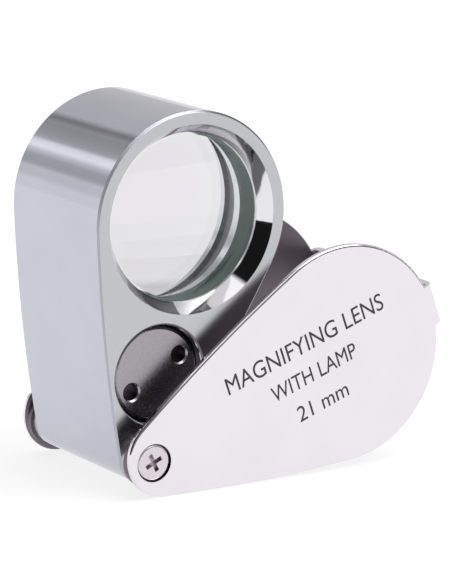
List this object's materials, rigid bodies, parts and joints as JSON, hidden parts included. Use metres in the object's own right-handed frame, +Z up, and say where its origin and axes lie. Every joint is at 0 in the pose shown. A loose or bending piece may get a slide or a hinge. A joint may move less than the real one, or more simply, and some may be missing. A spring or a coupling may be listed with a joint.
{
  "type": "viewing loupe",
  "caption": "Folding lens in a teardrop metal housing with a lamp and a battery well, swung on a pivot inside a bent sheet cover.",
  "frame": {"origin": "middle of the bounding box, at the surface that the cover's lower edges stand on", "axes": "+Z up as it stands; +X from the pivot end towards the cover's tip; -Y is the front, the side with the battery cap"},
  "size_m": [0.0482, 0.0256, 0.0455],
  "materials": {
    "cover_chrome": "polished plate on sheet steel",
    "housing_chrome": "satin plated die casting",
    "pivot_steel": "turned",
    "screw_steel": "turned and worn",
    "bush_brass": "turned",
    "lens_glass": "polished",
    "spacer_aluminium": "bright turned",
    "ring_aluminium": "plain turned",
    "cap_gunmetal": "dark nickel, brushed",
    "contact_metal": "plated spring metal",
    "sleeve_plastic": "thin insulating tube",
    "cell_steel": "plated can",
    "board_green": "solder mask",
    "lamp_clear": "clear epoxy",
    "button_black": "moulded"
  },
  "bodies": {
    "cover": {"cover_shell": "cover_chrome", "pivot_axle": "pivot_steel", "front_pivot_screw": "screw_steel", "back_pivot_screw": "screw_steel", "front_pivot_washer": "pivot_steel", "back_pivot_washer": "pivot_steel"},
    "loupe": {"housing": "housing_chrome", "front_pivot_bush": "bush_brass", "back_pivot_bush": "bush_brass", "front_lens": "lens_glass", "lens_spacer": "spacer_aluminium", "rear_lens": "lens_glass", "lens_retaining_ring": "ring_aluminium", "battery_cap": "cap_gunmetal", "cap_spring": "contact_metal", "battery_sleeve": "sleeve_plastic", "button_cell_1": "cell_steel", "button_cell_2": "cell_steel", "button_cell_3": "cell_steel", "board_spring": "contact_metal", "lamp_board": "board_green", "lamp": "lamp_clear", "switch_leaf": "contact_metal"},
    "button": {"switch_button": "button_black"}
  },
  "joints": [
    {"name": "loupe_swing", "type": "hinge", "parent": "cover", "child": "loupe", "pos_m": [-0.01776, 0, 0.00441], "axis": [0, -1, 0], "range_deg": [-56.35, 123.65]},
    {"name": "button_press", "type": "slide", "parent": "loupe", "child": "button", "axis": [-0.8321, 0, 0.5546], "range_m": [0, 0.0007], "stiffness_N_per_m": 800, "springref_m": -0.0004}
  ]
}
